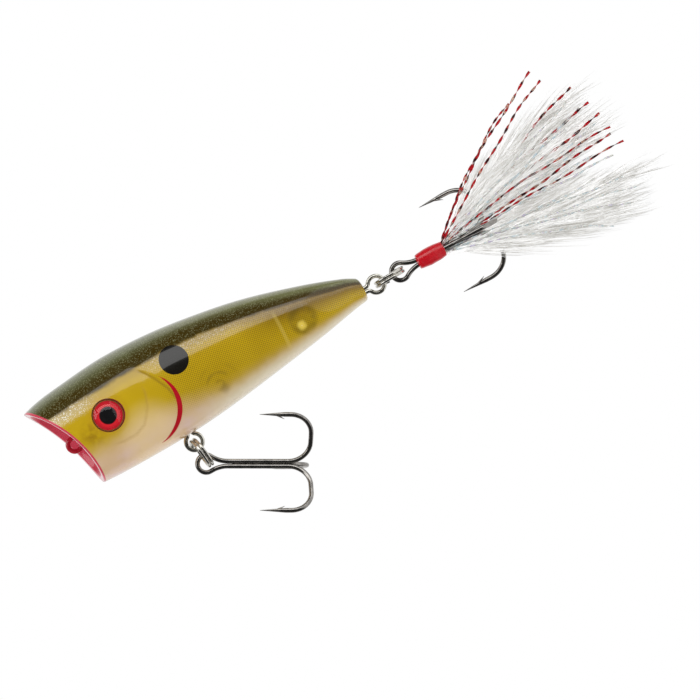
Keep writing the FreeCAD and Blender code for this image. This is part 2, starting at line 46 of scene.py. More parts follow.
# ------------------------------------------------------------ camera, floor and light
# A long lens looks at the left flank from a little towards the nose. The lure
# hangs from its line along +Z, so the camera is rolled to lay it across the frame.
VIEW_LEAN = math.radians(7.5)
VIEW_ROLL = math.radians(28.05)
VIEW_DISTANCE = 2.5
VIEW_WIDTH = 0.1363
SENSOR = 36
VIEW_TARGET = Vector((-8.9, 0.0, -56.3)) * MM
LIGHT_DISTANCE = 0.9

along = Vector((0, math.sin(VIEW_LEAN), math.cos(VIEW_LEAN)))
right = -math.cos(VIEW_ROLL) * along - math.sin(VIEW_ROLL) * Vector((1, 0, 0))
up = -math.sin(VIEW_ROLL) * along + math.cos(VIEW_ROLL) * Vector((1, 0, 0))
back = right.cross(up)


def turned(wide, tall, aim, place):
    """A world matrix at a place, from the three directions of its axes."""
    return Matrix((
        (wide.x, tall.x, aim.x, place.x),
        (wide.y, tall.y, aim.y, place.y),
        (wide.z, tall.z, aim.z, place.z),
        (0, 0, 0, 1)))


lens = bpy.data.cameras.new("camera")
lens.sensor_width = SENSOR
lens.lens = SENSOR * VIEW_DISTANCE / VIEW_WIDTH
camera = bpy.data.objects.new("camera", lens)
camera.matrix_world = turned(right, up, back, VIEW_TARGET + back * VIEW_DISTANCE)
bpy.context.scene.collection.objects.link(camera)
bpy.context.scene.camera = camera
bpy.context.scene.view_settings.view_transform = "Standard"


class Shade:
    """A value in a finish's node tree. Sums written on it add Math nodes."""

    def __init__(self, tree, socket=None):
        self.tree = tree
        self.socket = socket

    def node(self, kind, settings, inputs, out=0):
        """Add a node: its settings first, then numbers or links for its sockets."""
        made = self.tree.nodes.new(kind)
        for name, value in settings.items():
            if name == "stops":
                for index, (place, colour) in enumerate(value):
                    stop = (made.color_ramp.elements[index] if index < 2
                            else made.color_ramp.elements.new(place))
                    stop.position = place
                    stop.color = (*colour, 1)
            else:
                setattr(made, name, value)
        for name, value in inputs.items():
            if isinstance(value, Shade):
                self.tree.links.new(value.socket, made.inputs[name])
            else:
                made.inputs[name].default_value = value
        return Shade(self.tree, made.outputs[out])

    def math(self, operation, *values):
        return self.node("ShaderNodeMath", {"operation": operation}, dict(enumerate(values)))

    def __add__(self, other):
        return self.math("ADD", self, other)

    def __sub__(self, other):
        return self.math("SUBTRACT", self, other)

    def __mul__(self, other):
        return self.math("MULTIPLY", self, other)

    def __truediv__(self, other):
        return self.math("DIVIDE", self, other)

    def __pow__(self, other):
        return self.math("POWER", self, other)

    def __rsub__(self, other):
        return self.math("SUBTRACT", other, self)

    def __rtruediv__(self, other):
        return self.math("DIVIDE", other, self)

    __radd__ = __add__
    __rmul__ = __mul__

    def step(self, low, high):
        """0 below low, 1 above high and smooth between them."""
        return self.node("ShaderNodeMapRange", {"interpolation_type": "SMOOTHSTEP"},
                         {"Value": self, "From Min": low, "From Max": high})

    def mix(self, first, second):
        """The first colour where this value is 0 and the second where it is 1."""
        mixer = self.tree.nodes.new("ShaderNodeMix")
        mixer.data_type = "RGBA"
        self.tree.links.new(self.socket, mixer.inputs[0])
        for index, colour in ((6, first), (7, second)):
            if isinstance(colour, Shade):
                self.tree.links.new(colour.socket, mixer.inputs[index])
            else:
                mixer.inputs[index].default_value = (*colour, 1)
        return Shade(self.tree, mixer.outputs[2])

    def feed(self, shader, name):
        self.tree.links.new(self.socket, shader.inputs[name])


def finish(name, **sockets):
    """A new material, its empty value, its shader and its places in millimetres."""
    material = bpy.data.materials.new(name)
    material.use_nodes = True
    tree = material.node_tree
    shader = tree.nodes["Principled BSDF"]
    for socket, value in sockets.items():
        shader.inputs[socket.replace("_", " ")].default_value = value
    blank = Shade(tree)
    coordinates = blank.node("ShaderNodeTexCoord", {}, {}, out="Object")
    place = blank.node("ShaderNodeVectorMath", {"operation": "SCALE"},
                       {0: coordinates, "Scale": 1 / MM})
    return material, blank, shader, place


def axes(blank, place):
    """The three parts of a place."""
    return [blank.node("ShaderNodeSeparateXYZ", {}, {0: place}, out=axis) for axis in "XYZ"]


def softbox(name, side, rise, distance, width, height, power):
    """A soft light facing the lure from a side and a rise, with its width along the body."""
    side, rise = math.radians(side), math.radians(rise)
    aim = (back * math.cos(rise) * math.cos(side) + right * math.cos(rise) * math.sin(side)
           + up * math.sin(rise))
    light = bpy.data.lights.new(name, "AREA")
    light.shape = "RECTANGLE"
    light.size = width
    light.size_y = height
    light.energy = power
    item = bpy.data.objects.new(name, light)
    wide = (along - aim * along.dot(aim)).normalized()
    tall = aim.cross(wide)
    item.matrix_world = turned(wide, tall, aim, VIEW_TARGET + aim * distance)
    bpy.context.scene.collection.objects.link(item)
    return item


# The low light fills the belly without a second highlight on each wire.
softbox("key_light", -5, 50, LIGHT_DISTANCE, 2.0, 0.50, 6.9)
softbox("low_light", 0, -48, LIGHT_DISTANCE, 2.0, 0.90, 4.6).visible_glossy = False
softbox("side_light", -70, 5, LIGHT_DISTANCE, 0.5, 0.6, 2.0)

bpy.ops.object.select_all(action="DESELECT")
bpy.ops.mesh.primitive_circle_add(vertices=96, radius=0.45, fill_type="NGON",
                                  location=(0, 0, -0.32))
floor = bpy.context.object
floor.name = "floor"
paper, blank, shader, place = finish("floor_paper", Roughness=0.8)
grain = blank.node("ShaderNodeTexNoise", {}, {"Vector": place, "Scale": 0.2, "Detail": 3.0})
grain.mix((0.86, 0.86, 0.86), (0.90, 0.90, 0.90)).feed(shader, "Base Color")
floor.data.materials.append(paper)

# The camera sees white. The lure is lit by a sky that is brighter behind it and
# mirrors a darker one. Both have a dark gap high overhead.
world = bpy.data.worlds.new("studio")
world.use_nodes = True
bpy.context.scene.world = world
room = Shade(world.node_tree)
seen = room.node("ShaderNodeLightPath", {}, {}, out="Is Camera Ray")
heading = room.node("ShaderNodeTexCoord", {}, {}, out="Generated")
height = room.node("ShaderNodeVectorMath", {"operation": "DOT_PRODUCT"},
                   {0: heading, 1: tuple(up)}, out="Value")
behind = room.node("ShaderNodeVectorMath", {"operation": "DOT_PRODUCT"},
                   {0: heading, 1: tuple(-back)}, out="Value")
mirrored = room.node("ShaderNodeLightPath", {}, {}, out="Is Glossy Ray")
sky = behind.step(-0.55, 0.25).mix((0.36, 0.36, 0.36), (0.95, 0.95, 0.95))
dim = behind.step(0.05, 0.60).mix((0.050, 0.050, 0.050), (0.85, 0.85, 0.85))
gap = height.step(0.86, 0.93) * (1 - height.step(0.975, 0.995))
sky = gap.mix(mirrored.mix(sky, dim), (0.05, 0.05, 0.05))
seen.mix(sky, (1.0, 1.0, 1.0)).feed(world.node_tree.nodes["Background"], "Color")


# ------------------------------------------------------------ body halves
# The body is two hollow halves moulded in clear amber plastic and welded along
# the middle, then printed with a fish-scale grid, airbrushed and clear-coated.
LENGTH = 70.0
HEIGHT = 21.7
WIDTH = 18.6
LIP = 5.8
MOUTH_TILT = math.radians(21.8)
MOUTH_BOW = 30.0
CUP_DEPTH = 5.6
CUP_TALL = 9.05
CUP_WIDE = 7.377
MOUTH_CENTRE = 0.016
MOUTH_SET_BACK = 3.7
MOUTH_CHORD = 0.917
# Share of the length from the lip, then centre and half height as shares of the height.
STATIONS = [
    (-0.03, 0.032, 0.392), (0.043, 0.048, 0.445), (0.126, 0.055, 0.479),
    (0.253, 0.078, 0.500), (0.382, 0.086, 0.490), (0.504, 0.089, 0.453),
    (0.671, 0.089, 0.370), (0.840, 0.065, 0.253), (0.960, 0.040, 0.148),
    (1.000, 0.018, 0.106)]
EYE = Vector((1.95, 0.0, -7.5))
EYE_POCKET = 3.28
EYE_FLOOR = 8.1
ROUND = 96
HEAD_ROWS = 120
TAIL_ROWS = 110
CUP_ROWS = 26
LIP_SHARES = (0.03, 0.08, 0.2, 0.5, 0.8, 0.90, 0.955, 0.985)
LIP_ROWS = len(LIP_SHARES)
END_ROWS = 6
HEAD_END = -22.0
TAIL_START = -22.05
TAIL_ROUND = 0.55
TAIL_DRAW = 0.26
LIP_GAP = 0.05
SEAM_DEPTH = 0.05


def section(z):
    """Centre, half height and half width of the body at a place along it."""
    share = (LIP - z) / LENGTH
    last = len(STATIONS) - 1
    index = max(0, min(last - 1, sum(share > s[0] for s in STATIONS) - 1))
    p0, p1, p2, p3 = (STATIONS[max(0, min(last, index + k))] for k in (-1, 0, 1, 2))
    span = p2[0] - p1[0]
    t = max(-0.2, min(1.0, (share - p1[0]) / span))
    values = []
    for k in (1, 2):
        before = (p2[k] - p0[k]) / (p2[0] - p0[0]) * span
        after = (p3[k] - p1[k]) / (p3[0] - p1[0]) * span
        values.append(p1[k] * (2 * t ** 3 - 3 * t ** 2 + 1) + p2[k] * (3 * t ** 2 - 2 * t ** 3)
                      + before * (t ** 3 - 2 * t ** 2 + t) + after * (t ** 3 - t ** 2))
    return values[0] * HEIGHT, values[1] * HEIGHT, values[1] * WIDTH


mouth = Vector((MOUTH_CENTRE * HEIGHT, 0, LIP - MOUTH_SET_BACK))
outward = Vector((-math.sin(MOUTH_TILT), 0, math.cos(MOUTH_TILT)))
upward = Vector((math.cos(MOUTH_TILT), 0, math.sin(MOUTH_TILT)))
half_chord = MOUTH_CHORD * HEIGHT / 2
bow_drop = math.sqrt(MOUTH_BOW ** 2 - half_chord ** 2)
bow_centre = mouth + outward * bow_drop


def on_bow(point):
    """Move a point along the mouth's axis on to its bowed face."""
    rise = (point - mouth).dot(upward)
    depth = math.sqrt(MOUTH_BOW ** 2 - rise ** 2) - bow_drop
    return mouth + upward * rise + Vector((0, point.y, 0)) - outward * depth


def on_skin(turn, z):
    """A point of the outer skin. A turn of 0 is the back and of pi the belly."""
    centre, tall, wide = section(z)
    return Vector((centre + tall * math.cos(turn), wide * math.sin(turn), z))


def rim_height(turn):
    """Where the outer skin meets the bowed face of the mouth."""
    z = mouth.z
    for _ in range(30):
        x = on_skin(turn, z).x
        z = bow_centre.z - math.sqrt(MOUTH_BOW ** 2 - (x - bow_centre.x) ** 2)
    return z


def cup_rim(turn):
    """The angle down the cup at which it meets the bowed face."""
    angle = 1.2
    for _ in range(30):
        rise = CUP_TALL * math.cos(turn) * math.sin(angle)
        depth = math.sqrt(MOUTH_BOW ** 2 - rise ** 2) - bow_drop
        angle = math.acos(depth / CUP_DEPTH)
    return angle


def in_cup(turn, angle):
    """A point of the cup, from its deepest place at an angle of 0."""
    return (mouth + upward * (CUP_TALL * math.cos(turn) * math.sin(angle))
            + Vector((0, CUP_WIDE * math.sin(turn) * math.sin(angle), 0))
            - outward * (CUP_DEPTH * math.cos(angle)))


# Moulded lines of the gill cover: x, z in millimetres, from top to bottom.
CHEEK_LINE = [(4.5, -15.9), (2.5, -15.9), (0.0, -15.1), (-1.6, -14.1), (-3.0, -12.9),
              (-3.9, -10.8), (-4.0, -8.1), (-3.6, -5.6)]
GILL_LINE = [(8.0, -15.0), (7.0, -16.6), (5.6, -17.8), (4.0, -18.8), (1.2, -20.2),
             (-1.5, -20.9), (-4.0, -20.6), (-6.0, -19.0), (-7.6, -16.2)]
COVER_FROM, COVER_TO = -26, -3
GROOVE = 0.26
STEP_RUN = 0.3


def off_line(line, x, z):
    """Distance to a line of points, and the side of it, positive towards the tail."""
    best = (99.0, 0.0)
    for (x0, z0), (x1, z1) in zip(line, line[1:]):
        run = Vector((x1 - x0, z1 - z0))
        share = max(0.0, min(1.0, Vector((x - x0, z - z0)).dot(run) / run.length_squared))
        gap = Vector((x - x0, z - z0)) - run * share
        if gap.length < best[0]:
            best = (gap.length, (run.x * gap.y - run.y * gap.x) / run.length)
    return best


def moulded(point):
    """How far the gill cover lifts or sinks the skin, and how deep its two lines are."""
    if not COVER_FROM <= point.z <= COVER_TO:
        return 0.0, 0.0, 0.0
    gap, side = off_line(GILL_LINE, point.x, point.z)
    fade = min(1.0, max(0.0, (8.2 - point.x) / 2)) * min(1.0, max(0.0, (point.x + 8.2) / 2))
    outer = math.exp(-(gap / GROOVE) ** 2) * fade
    fold = 0.10 * math.tanh(side / STEP_RUN) * math.exp(-(gap / 1.8) ** 2) * fade
    lift = fold - 0.12 * outer
    gap, side = off_line(CHEEK_LINE, point.x, point.z)
    fade = min(1.0, max(0.0, (4.6 - point.x) / 2)) * min(1.0, max(0.0, (-point.z - 5.4) / 2))
    cheek = math.exp(-(gap / GROOVE) ** 2) * fade
    fold = 0.05 * math.tanh(side / STEP_RUN) * math.exp(-(gap / 1.4) ** 2) * fade
    lift += fold - 0.08 * cheek
    return lift, outer, cheek


def body_half(name, side):
    """One half as rows of points, from the middle of the cup, over the lip, to the tail."""
    bpy.ops.object.select_all(action="DESELECT")
    rows = CUP_ROWS + LIP_ROWS + HEAD_ROWS + TAIL_ROWS + END_ROWS
    last_step = HEAD_ROWS + TAIL_ROWS + END_ROWS - 1
    bpy.ops.mesh.primitive_grid_add(x_subdivisions=ROUND, y_subdivisions=rows - 1, size=1)
    half = bpy.context.object
    half.name = name
    half.data.uv_layers.active.name = "skin"
    half.data.uv_layers.new(name="moulding")
    lines = []
    turns = [math.pi * k / ROUND for k in range(ROUND + 1)]
    rims = [rim_height(t) for t in turns]
    cups = [cup_rim(t) for t in turns]
    tail = LIP - LENGTH
    points = []
    for row in range(rows):
        for turn, rim, cup in zip(turns, rims, cups):
            gill_shade_mask = cheek_groove_shade = 0.0
            inner = in_cup(turn, cup)
            outer = on_skin(turn, rim)
            if row < CUP_ROWS:
                point = in_cup(turn, cup * (0.004 + 0.976 * (row / (CUP_ROWS - 1))))
            elif row < CUP_ROWS + LIP_ROWS:
                share = LIP_SHARES[row - CUP_ROWS]
                point = on_bow(inner.lerp(outer, share))
                ease = 0.10 * (1 - share) ** 8 + 0.12 * share ** 14
                point -= outward * ease
            else:
                step = row - CUP_ROWS - LIP_ROWS
                if step < HEAD_ROWS:
                    z = rim - LIP_GAP + (HEAD_END - rim) * (step / HEAD_ROWS) ** 1.08
                    point = on_skin(turn, z)
                    if step == 0:
                        point = Vector((point.x * 0.992 + 0.008 * mouth.x,
                                        point.y * 0.992, point.z))
                elif step < HEAD_ROWS + TAIL_ROWS:
                    share = (step - HEAD_ROWS) / (TAIL_ROWS - 1)
                    point = on_skin(
                        turn, TAIL_START + (tail + TAIL_ROUND - TAIL_START) * share)
                else:
                    bend = (step - HEAD_ROWS - TAIL_ROWS + 1) / END_ROWS * math.pi / 2
                    point = on_skin(turn, tail + TAIL_ROUND * (1 - math.sin(bend)))
                    draw_in = 1 - (1 - math.cos(bend)) * TAIL_DRAW
                    if step == last_step:
                        draw_in = 0.0
                    centre = section(tail)[0]
                    point.x = centre + (point.x - centre) * draw_in
                    point.y *= draw_in
                normal = Vector((math.cos(turn) / HEIGHT, math.sin(turn) / WIDTH, 0)).normalized()
                lift, gill_shade_mask, cheek_groove_shade = moulded(point)
                point += normal * lift * math.sin(turn) ** 0.5
                if min(turn, math.pi - turn) < 1e-6 and step < last_step:
                    point -= normal * SEAM_DEPTH
            point.y = side * abs(point.y)
            points.append(point)
            lines.append((gill_shade_mask, cheek_groove_shade))
    mesh = half.data
    mesh.vertices.foreach_set("co", [c * MM for p in points for c in p])
    for loop in mesh.loops:
        row, column = divmod(loop.vertex_index, ROUND + 1)
        mesh.uv_layers["skin"].data[loop.index].uv = (row / rows, math.cos(turns[column]))
        # The depth of each groove goes to a map that darkens the grooves with painted shade.
        mesh.uv_layers["moulding"].data[loop.index].uv = lines[loop.vertex_index]
    bpy.ops.object.mode_set(mode="EDIT")
    bpy.ops.mesh.select_all(action="SELECT")
    bpy.ops.mesh.remove_doubles(threshold=2e-6)
    bpy.ops.mesh.select_all(action="DESELECT")
    bpy.ops.mesh.select_mode(type="EDGE")
    bpy.ops.mesh.select_non_manifold()
    bpy.ops.mesh.edge_face_add()
    bpy.ops.mesh.select_all(action="SELECT")
    bpy.ops.mesh.normals_make_consistent(inside=False)
    bpy.ops.object.mode_set(mode="OBJECT")
    bpy.ops.mesh.primitive_cylinder_add(
        vertices=90, radius=EYE_POCKET * MM, depth=6 * MM,
        location=(EYE.x * MM, side * (EYE_FLOOR + 3) * MM, EYE.z * MM),
        rotation=(math.pi / 2, 0, 0))
    pocket = bpy.context.object
    bpy.context.view_layer.objects.active = half
    carve = half.modifiers.new("eye_pocket", "BOOLEAN")
    carve.object = pocket
    carve.operation = "DIFFERENCE"
    bpy.ops.object.modifier_apply(modifier=carve.name)
    bpy.data.objects.remove(pocket)
    bpy.ops.object.select_all(action="DESELECT")
    half.select_set(True)
    bpy.ops.object.shade_smooth_by_angle(angle=math.radians(38))
    return half


paint, blank, shader, place = finish("painted_shell", Roughness=0.22, IOR=1.5,
                                     Specular_IOR_Level=0.2, Coat_IOR=1.4)
x, y, z = axes(blank, place)
u, v, _ = axes(blank, blank.node("ShaderNodeUVMap", {"uv_map": "skin"}, {}))
moulding = blank.node("ShaderNodeUVMap", {"uv_map": "moulding"}, {})
gill_groove_shade, cheek_groove_shade, _ = axes(blank, moulding)


def cloud(scale, detail=2.0):
    """Soft noise in the finish that is being made, with a scale per millimetre."""
    return blank.node("ShaderNodeTexNoise", {},
                      {"Vector": place, "Scale": scale, "Detail": detail})


def ring_gap(cx, cz):
    """Distance from a point of the flank, in millimetres, in the finish being made."""
    return ((x - cx) * (x - cx) + (z - cz) * (z - cz)) ** 0.5


tint = cloud(0.12)
wave = cloud(0.35)
height = v + (wave - 0.5) * 0.10
rear = z.step(-18.0, -34.0)
lifted = (height - 0.16 * z.step(-60.0, -28.0) + 0.05 * z.step(-26.0, -14.0)
          - 0.04 * z.step(-8.0, 0.0))

# Airbrushed base: cream belly, amber flank, brown band and olive back.
belly = tint.mix((0.66, 0.44, 0.24), (0.74, 0.54, 0.36))
lilac = (cloud(0.25) - 0.35).step(0.0, 0.5) * height.step(-0.45, -0.9)
belly = lilac.mix(belly, (0.72, 0.52, 0.52))
gold = tint.mix((0.46, 0.29, 0.004), (0.62, 0.42, 0.010))
keel = height.step(-0.50, -0.85)
belly = (rear * (1 - keel) * 0.85).mix(belly, (0.46, 0.32, 0.11))
belly = (rear * keel).mix(belly, (0.76, 0.66, 0.47))
colour = (height + 0.10 + 0.20 * rear).step(-0.62, -0.10).mix(belly, gold)
dusk = height.step(-0.35, 0.40) * z.step(-36.0, -50.0)
colour = (dusk * 0.92).mix(colour, (0.155, 0.080, 0.001))
tan = lifted.step(0.20, 0.36) * (0.35 + 0.3 * rear)
colour = tan.mix(colour, (0.30, 0.20, 0.06))
band = lifted.step(0.36, 0.46)
colour = band.mix(colour, (0.046, 0.029, 0.001))
olive = lifted.step(0.56, 0.80)
colour = olive.mix(colour, rear.mix((0.115, 0.122, 0.050), (0.155, 0.158, 0.066)))

# Printed scale grid, stronger towards the tail.
SCALE_PITCH = 0.55
grid = (blank.math("SINE", z * (2 * math.pi / SCALE_PITCH))
        * blank.math("SINE", x * (2 * math.pi / SCALE_PITCH)))
dots = grid.step(0.05, 0.5) * z.step(-15.0, -26.0) * height.step(-0.75, -0.25) * (
    1 - height.step(0.5, 0.6))
colour = (dots * 0.72).mix(colour, (0.13, 0.070, 0.004))

# Glitter flakes in the back and along the shoulder.
flakes = blank.node("ShaderNodeTexVoronoi", {}, {"Vector": place, "Scale": 7.0}, out="Color")
flake = blank.node("ShaderNodeSeparateXYZ", {}, {0: flakes}, out="X")
back_glitter = flake.step(0.80, 0.9) * height.step(0.5, 0.7)
colour = (back_glitter * 0.40).mix(colour, (0.38, 0.40, 0.22))
near_lip = z.step(-9.0, -1.0)
by_spot = z.step(-16.0, -21.0) * (1 - z.step(-30.0, -44.0) * 0.8)
shoulder = lifted.step(0.10, 0.30) * (1 - lifted.step(0.36, 0.46)) * (
    near_lip + 0.35 * by_spot)
colour = (shoulder * 0.32).mix(colour, (0.50, 0.45, 0.32))
colour = (flake.step(0.83, 0.90) * shoulder).mix(colour, (0.92, 0.90, 0.80))

# Internal walls and ballast bosses that show through the clear plastic.
boss = ring_gap(-3.1, -29.7)
boss_ring = boss.math("PINGPONG", boss, 0.85).step(0.3, 0.8) * (1 - boss.step(3.2, 4.8))
boss_ring = boss_ring * cloud(0.45).step(0.42, 0.62) * x.step(-5.5, -2.0) * 0.34
colour = boss_ring.mix(colour, (0.16, 0.10, 0.010))
smudge = ring_gap(-4.0, -30.4).step(1.5, 0.2) * 0.35
colour = smudge.mix(colour, (0.14, 0.09, 0.015))
window = ring_gap(0.7, -50.3)
window = window.step(3.5, 2.3) * (0.45 + 0.55 * window.step(1.2, 2.2))
colour = (window * cloud(0.5).step(0.1, 0.7) * 0.62).mix(colour, (0.12, 0.078, 0.006))
rib = blank.math("ABSOLUTE", z + 45.6).step(0.55, 0.15)
rib = rib * height.step(-0.8, -0.5) * height.step(0.5, 0.2)
colour = (rib * 0.22).mix(colour, (0.85, 0.66, 0.16))
pin_gap = ring_gap(-0.3, -49.6) + (cloud(0.9) - 0.5) * 0.6
colour = (pin_gap.step(1.25, 0.35) * 0.85).mix(colour, (0.85, 0.64, 0.10))
colour = (pin_gap.step(0.22, 0.10) * 0.6).mix(colour, (0.95, 0.90, 0.60))

# Gill cover: paler cheek, moulded grooves darkened with painted shade and pooled coat, red slash
# and the black shoulder spot.
cheek = ring_gap(-5.5, -13.5).step(8.0, 2.5)
colour = (cheek * 0.55).mix(colour, (0.85, 0.64, 0.34))
stain = ring_gap(0.2, -3.2).step(3.4, 0.6) * cloud(0.6).step(0.35, 0.65) * 0.55
colour = stain.mix(colour, (0.24, 0.11, 0.006))
socket = ring_gap(EYE.x, EYE.z).step(4.6, 3.4)
colour = (socket * 0.55).mix(colour, (0.50, 0.30, 0.010))
# Painted shade: the gill and cheek grooves are darkened, partly also for the coat pooled in them.
colour = (gill_groove_shade * 0.50).mix(colour, (0.22, 0.12, 0.015))
colour = (cheek_groove_shade * 0.38).mix(colour, (0.40, 0.24, 0.05))
crest = (ring_gap(-0.76, -14.7).step(6.98, 6.90)
         * ring_gap(-0.02, -12.96).step(7.80, 7.88) * z.step(-14.2, -14.8))
ragged = ((cloud(3.0) - 0.5) * 0.5 + crest).step(0.45, 0.55)
colour = ragged.mix(colour, (0.46, 0.004, 0.014))
spot = ring_gap(5.5, -23.9).step(2.96, 2.88)
colour = spot.mix(colour, (0.008, 0.007, 0.005))

# The mouth is sprayed red-pink inside its lip.
inside = u.step(0.1365, 0.1345)
throat = cloud(0.5).mix((0.52, 0.035, 0.065), (0.68, 0.075, 0.12))
colour = inside.mix(colour, throat)
colour.feed(shader, "Base Color")
rough = 0.14 + 0.10 * cloud(0.8)
rough.feed(shader, "Roughness")
shader.inputs["Coat Weight"].default_value = 1.0
shader.inputs["Coat Roughness"].default_value = 0.04
bump = blank.node("ShaderNodeBump", {}, {"Height": cloud(1.2) * 0.6 + dots * 0.3,
                                        "Strength": 0.05, "Distance": 0.0001})
bump.feed(shader, "Normal")

for name, side in (("left", -1), ("right", 1)):
    half = body_half("painted_half_" + name, side)
    half.data.materials.clear()
    half.data.materials.append(paint)
    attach(half, "lure_body")
    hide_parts("body_shell_" + name)


# ------------------------------------------------------------ eyes
# Each eye is a stamped red foil disc with a black pupil under a clear epoxy
# dome, glued into a round pocket with a thin gold rim.
def joined(node, name, body, material, crease=40):
    """A copy of a CAD node with its triangles joined, so that it shades smoothly."""
    piece = bpy.data.objects.new(name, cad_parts[node].data.copy())
    bpy.context.scene.collection.objects.link(piece)
    bpy.ops.object.select_all(action="DESELECT")
    piece.select_set(True)
    bpy.context.view_layer.objects.active = piece
    piece.data.materials.clear()
    piece.data.materials.append(material)
    bpy.ops.object.mode_set(mode="EDIT")
    bpy.ops.mesh.select_all(action="SELECT")
    bpy.ops.mesh.remove_doubles(threshold=1e-6)
    bpy.ops.object.mode_set(mode="OBJECT")
    bpy.ops.mesh.customdata_custom_splitnormals_clear()
    bpy.ops.object.shade_smooth_by_angle(angle=math.radians(crease))
    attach(piece, body)
    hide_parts(node)
    return piece


foil, blank, shader, place = finish("eye_foil_print", Roughness=0.3)
x, y, z = axes(blank, place)
spread = ring_gap(EYE.x, EYE.z)
weave = (cloud(2.5, 3.0) - 0.5) * 0.5
iris = (spread + weave).step(1.5, 3.0).mix((0.86, 0.012, 0.026), (0.55, 0.004, 0.014))
iris = spread.step(1.90, 1.65).mix(iris, (0.26, 0.002, 0.006))
iris = spread.step(1.72, 1.64).mix(iris, (0.004, 0.004, 0.005))
iris = spread.step(2.86, 2.94).mix(iris, (0.55, 0.36, 0.09))
iris.feed(shader, "Base Color")
(spread.step(2.86, 2.94) * 0.8).feed(shader, "Metallic")

epoxy, blank, shader, place = finish("clear_epoxy")
clear = blank.node("ShaderNodeBsdfTransparent", {}, {})
gloss = blank.node("ShaderNodeBsdfGlossy", {}, {"Roughness": 0.03})
inner_face = blank.node("ShaderNodeNewGeometry", {}, {}, out="Backfacing")
sheen = blank.node("ShaderNodeFresnel", {}, {"IOR": 1.55}) * (1 - inner_face)
cover = blank.node("ShaderNodeMixShader", {}, {0: sheen, 1: clear, 2: gloss})
cover.feed(epoxy.node_tree.nodes["Material Output"], "Surface")

# The dome's inner face stands this far off the foil, so that the two never share a plane.
DOME_GAP = 0.03 * MM
for name in ("left", "right"):
    joined("eye_foil_" + name, "iris_disc_" + name, "lure_body", foil)
    dome = joined("eye_dome_" + name, "epoxy_dome_" + name, "lure_body", epoxy, 60)
    for vertex in dome.data.vertices:
        vertex.co.y += math.copysign(DOME_GAP, vertex.co.y)


# ------------------------------------------------------------ line tie and hangers
# Stainless wire bent into figure eights and caught between the halves. The
# line tie is sprayed red with the mouth; the two hangers stay bright.
def wire_finish(name, dark, bright, rough):
    """Drawn wire: fine lines, small stains and a roughness that wanders."""
    material, blank, shader, place = finish(name, Metallic=1.0)
    stain = blank.node("ShaderNodeTexNoise", {}, {"Vector": place, "Scale": 0.9, "Detail": 4.0})
    drawn = blank.node("ShaderNodeTexNoise", {}, {"Vector": place, "Scale": 3.0, "Detail": 2.0})
    stain.step(0.3, 0.7).mix(dark, bright).feed(shader, "Base Color")
    (rough + (drawn - 0.5) * 0.10).feed(shader, "Roughness")
    lines = blank.node("ShaderNodeBump", {},
                       {"Height": drawn, "Strength": 0.05, "Distance": 0.00003})
    lines.feed(shader, "Normal")
    return material


stainless = wire_finish("stainless_wire", (0.58, 0.56, 0.49), (0.80, 0.78, 0.70), 0.15)
red_wire, blank, shader, place = finish("red_sprayed_wire", Roughness=0.2, Coat_Weight=0.8)
cloud(1.1, 3.0).mix((0.30, 0.004, 0.014), (0.52, 0.012, 0.035)).feed(shader, "Base Color")
joined("line_tie", "red_line_tie", "lure_body", red_wire)
joined("belly_hanger", "bright_belly_hanger", "lure_body", stainless)
joined("tail_hanger", "bright_tail_hanger", "lure_body", stainless)


# ------------------------------------------------------------ split rings
# Nickel-plated spring wire coiled nearly two turns, with worn edges.
nickel = wire_finish("ring_nickel", (0.52, 0.50, 0.45), (0.78, 0.76, 0.70), 0.13)
joined("belly_split_ring", "nickel_belly_ring", "belly_ring", nickel)
joined("tail_split_ring", "nickel_tail_ring", "tail_ring", nickel)


# ------------------------------------------------------------ treble hooks
# High-carbon wire bent, sharpened, barbed and brazed together, then plated
# with black nickel that thins to warm grey on the outside of the bends.
black_nickel = wire_finish("black_nickel", (0.24, 0.23, 0.215), (0.42, 0.40, 0.375), 0.16)
for end in ("belly", "tail"):
    for wire in ("double", "third"):
        joined("%s_%s_hook" % (end, wire), "plated_%s_%s" % (end, wire), end + "_treble",
               black_nickel, 32)


# ------------------------------------------------------------ ballast and rattle balls
# Brass-coloured slugs lie in bored bosses and two steel balls roll in the
# chamber between them, all closed inside the body.
brass = wire_finish("ballast_brass", (0.42, 0.30, 0.12), (0.62, 0.46, 0.20), 0.3)
steel = wire_finish("rattle_steel", (0.45, 0.45, 0.46), (0.66, 0.66, 0.67), 0.14)
for node, body, slot, metal in (
        ("front_slug", "lure_body", "ballast", brass),
        ("rear_slug", "lure_body", "ballast", brass),
        ("rattle_ball_upper", "upper_rattle", "rattle_steel", steel),
        ("rattle_ball_lower", "lower_rattle", "rattle_steel", steel)):
    joined(node, "cast_" + node, body, metal)


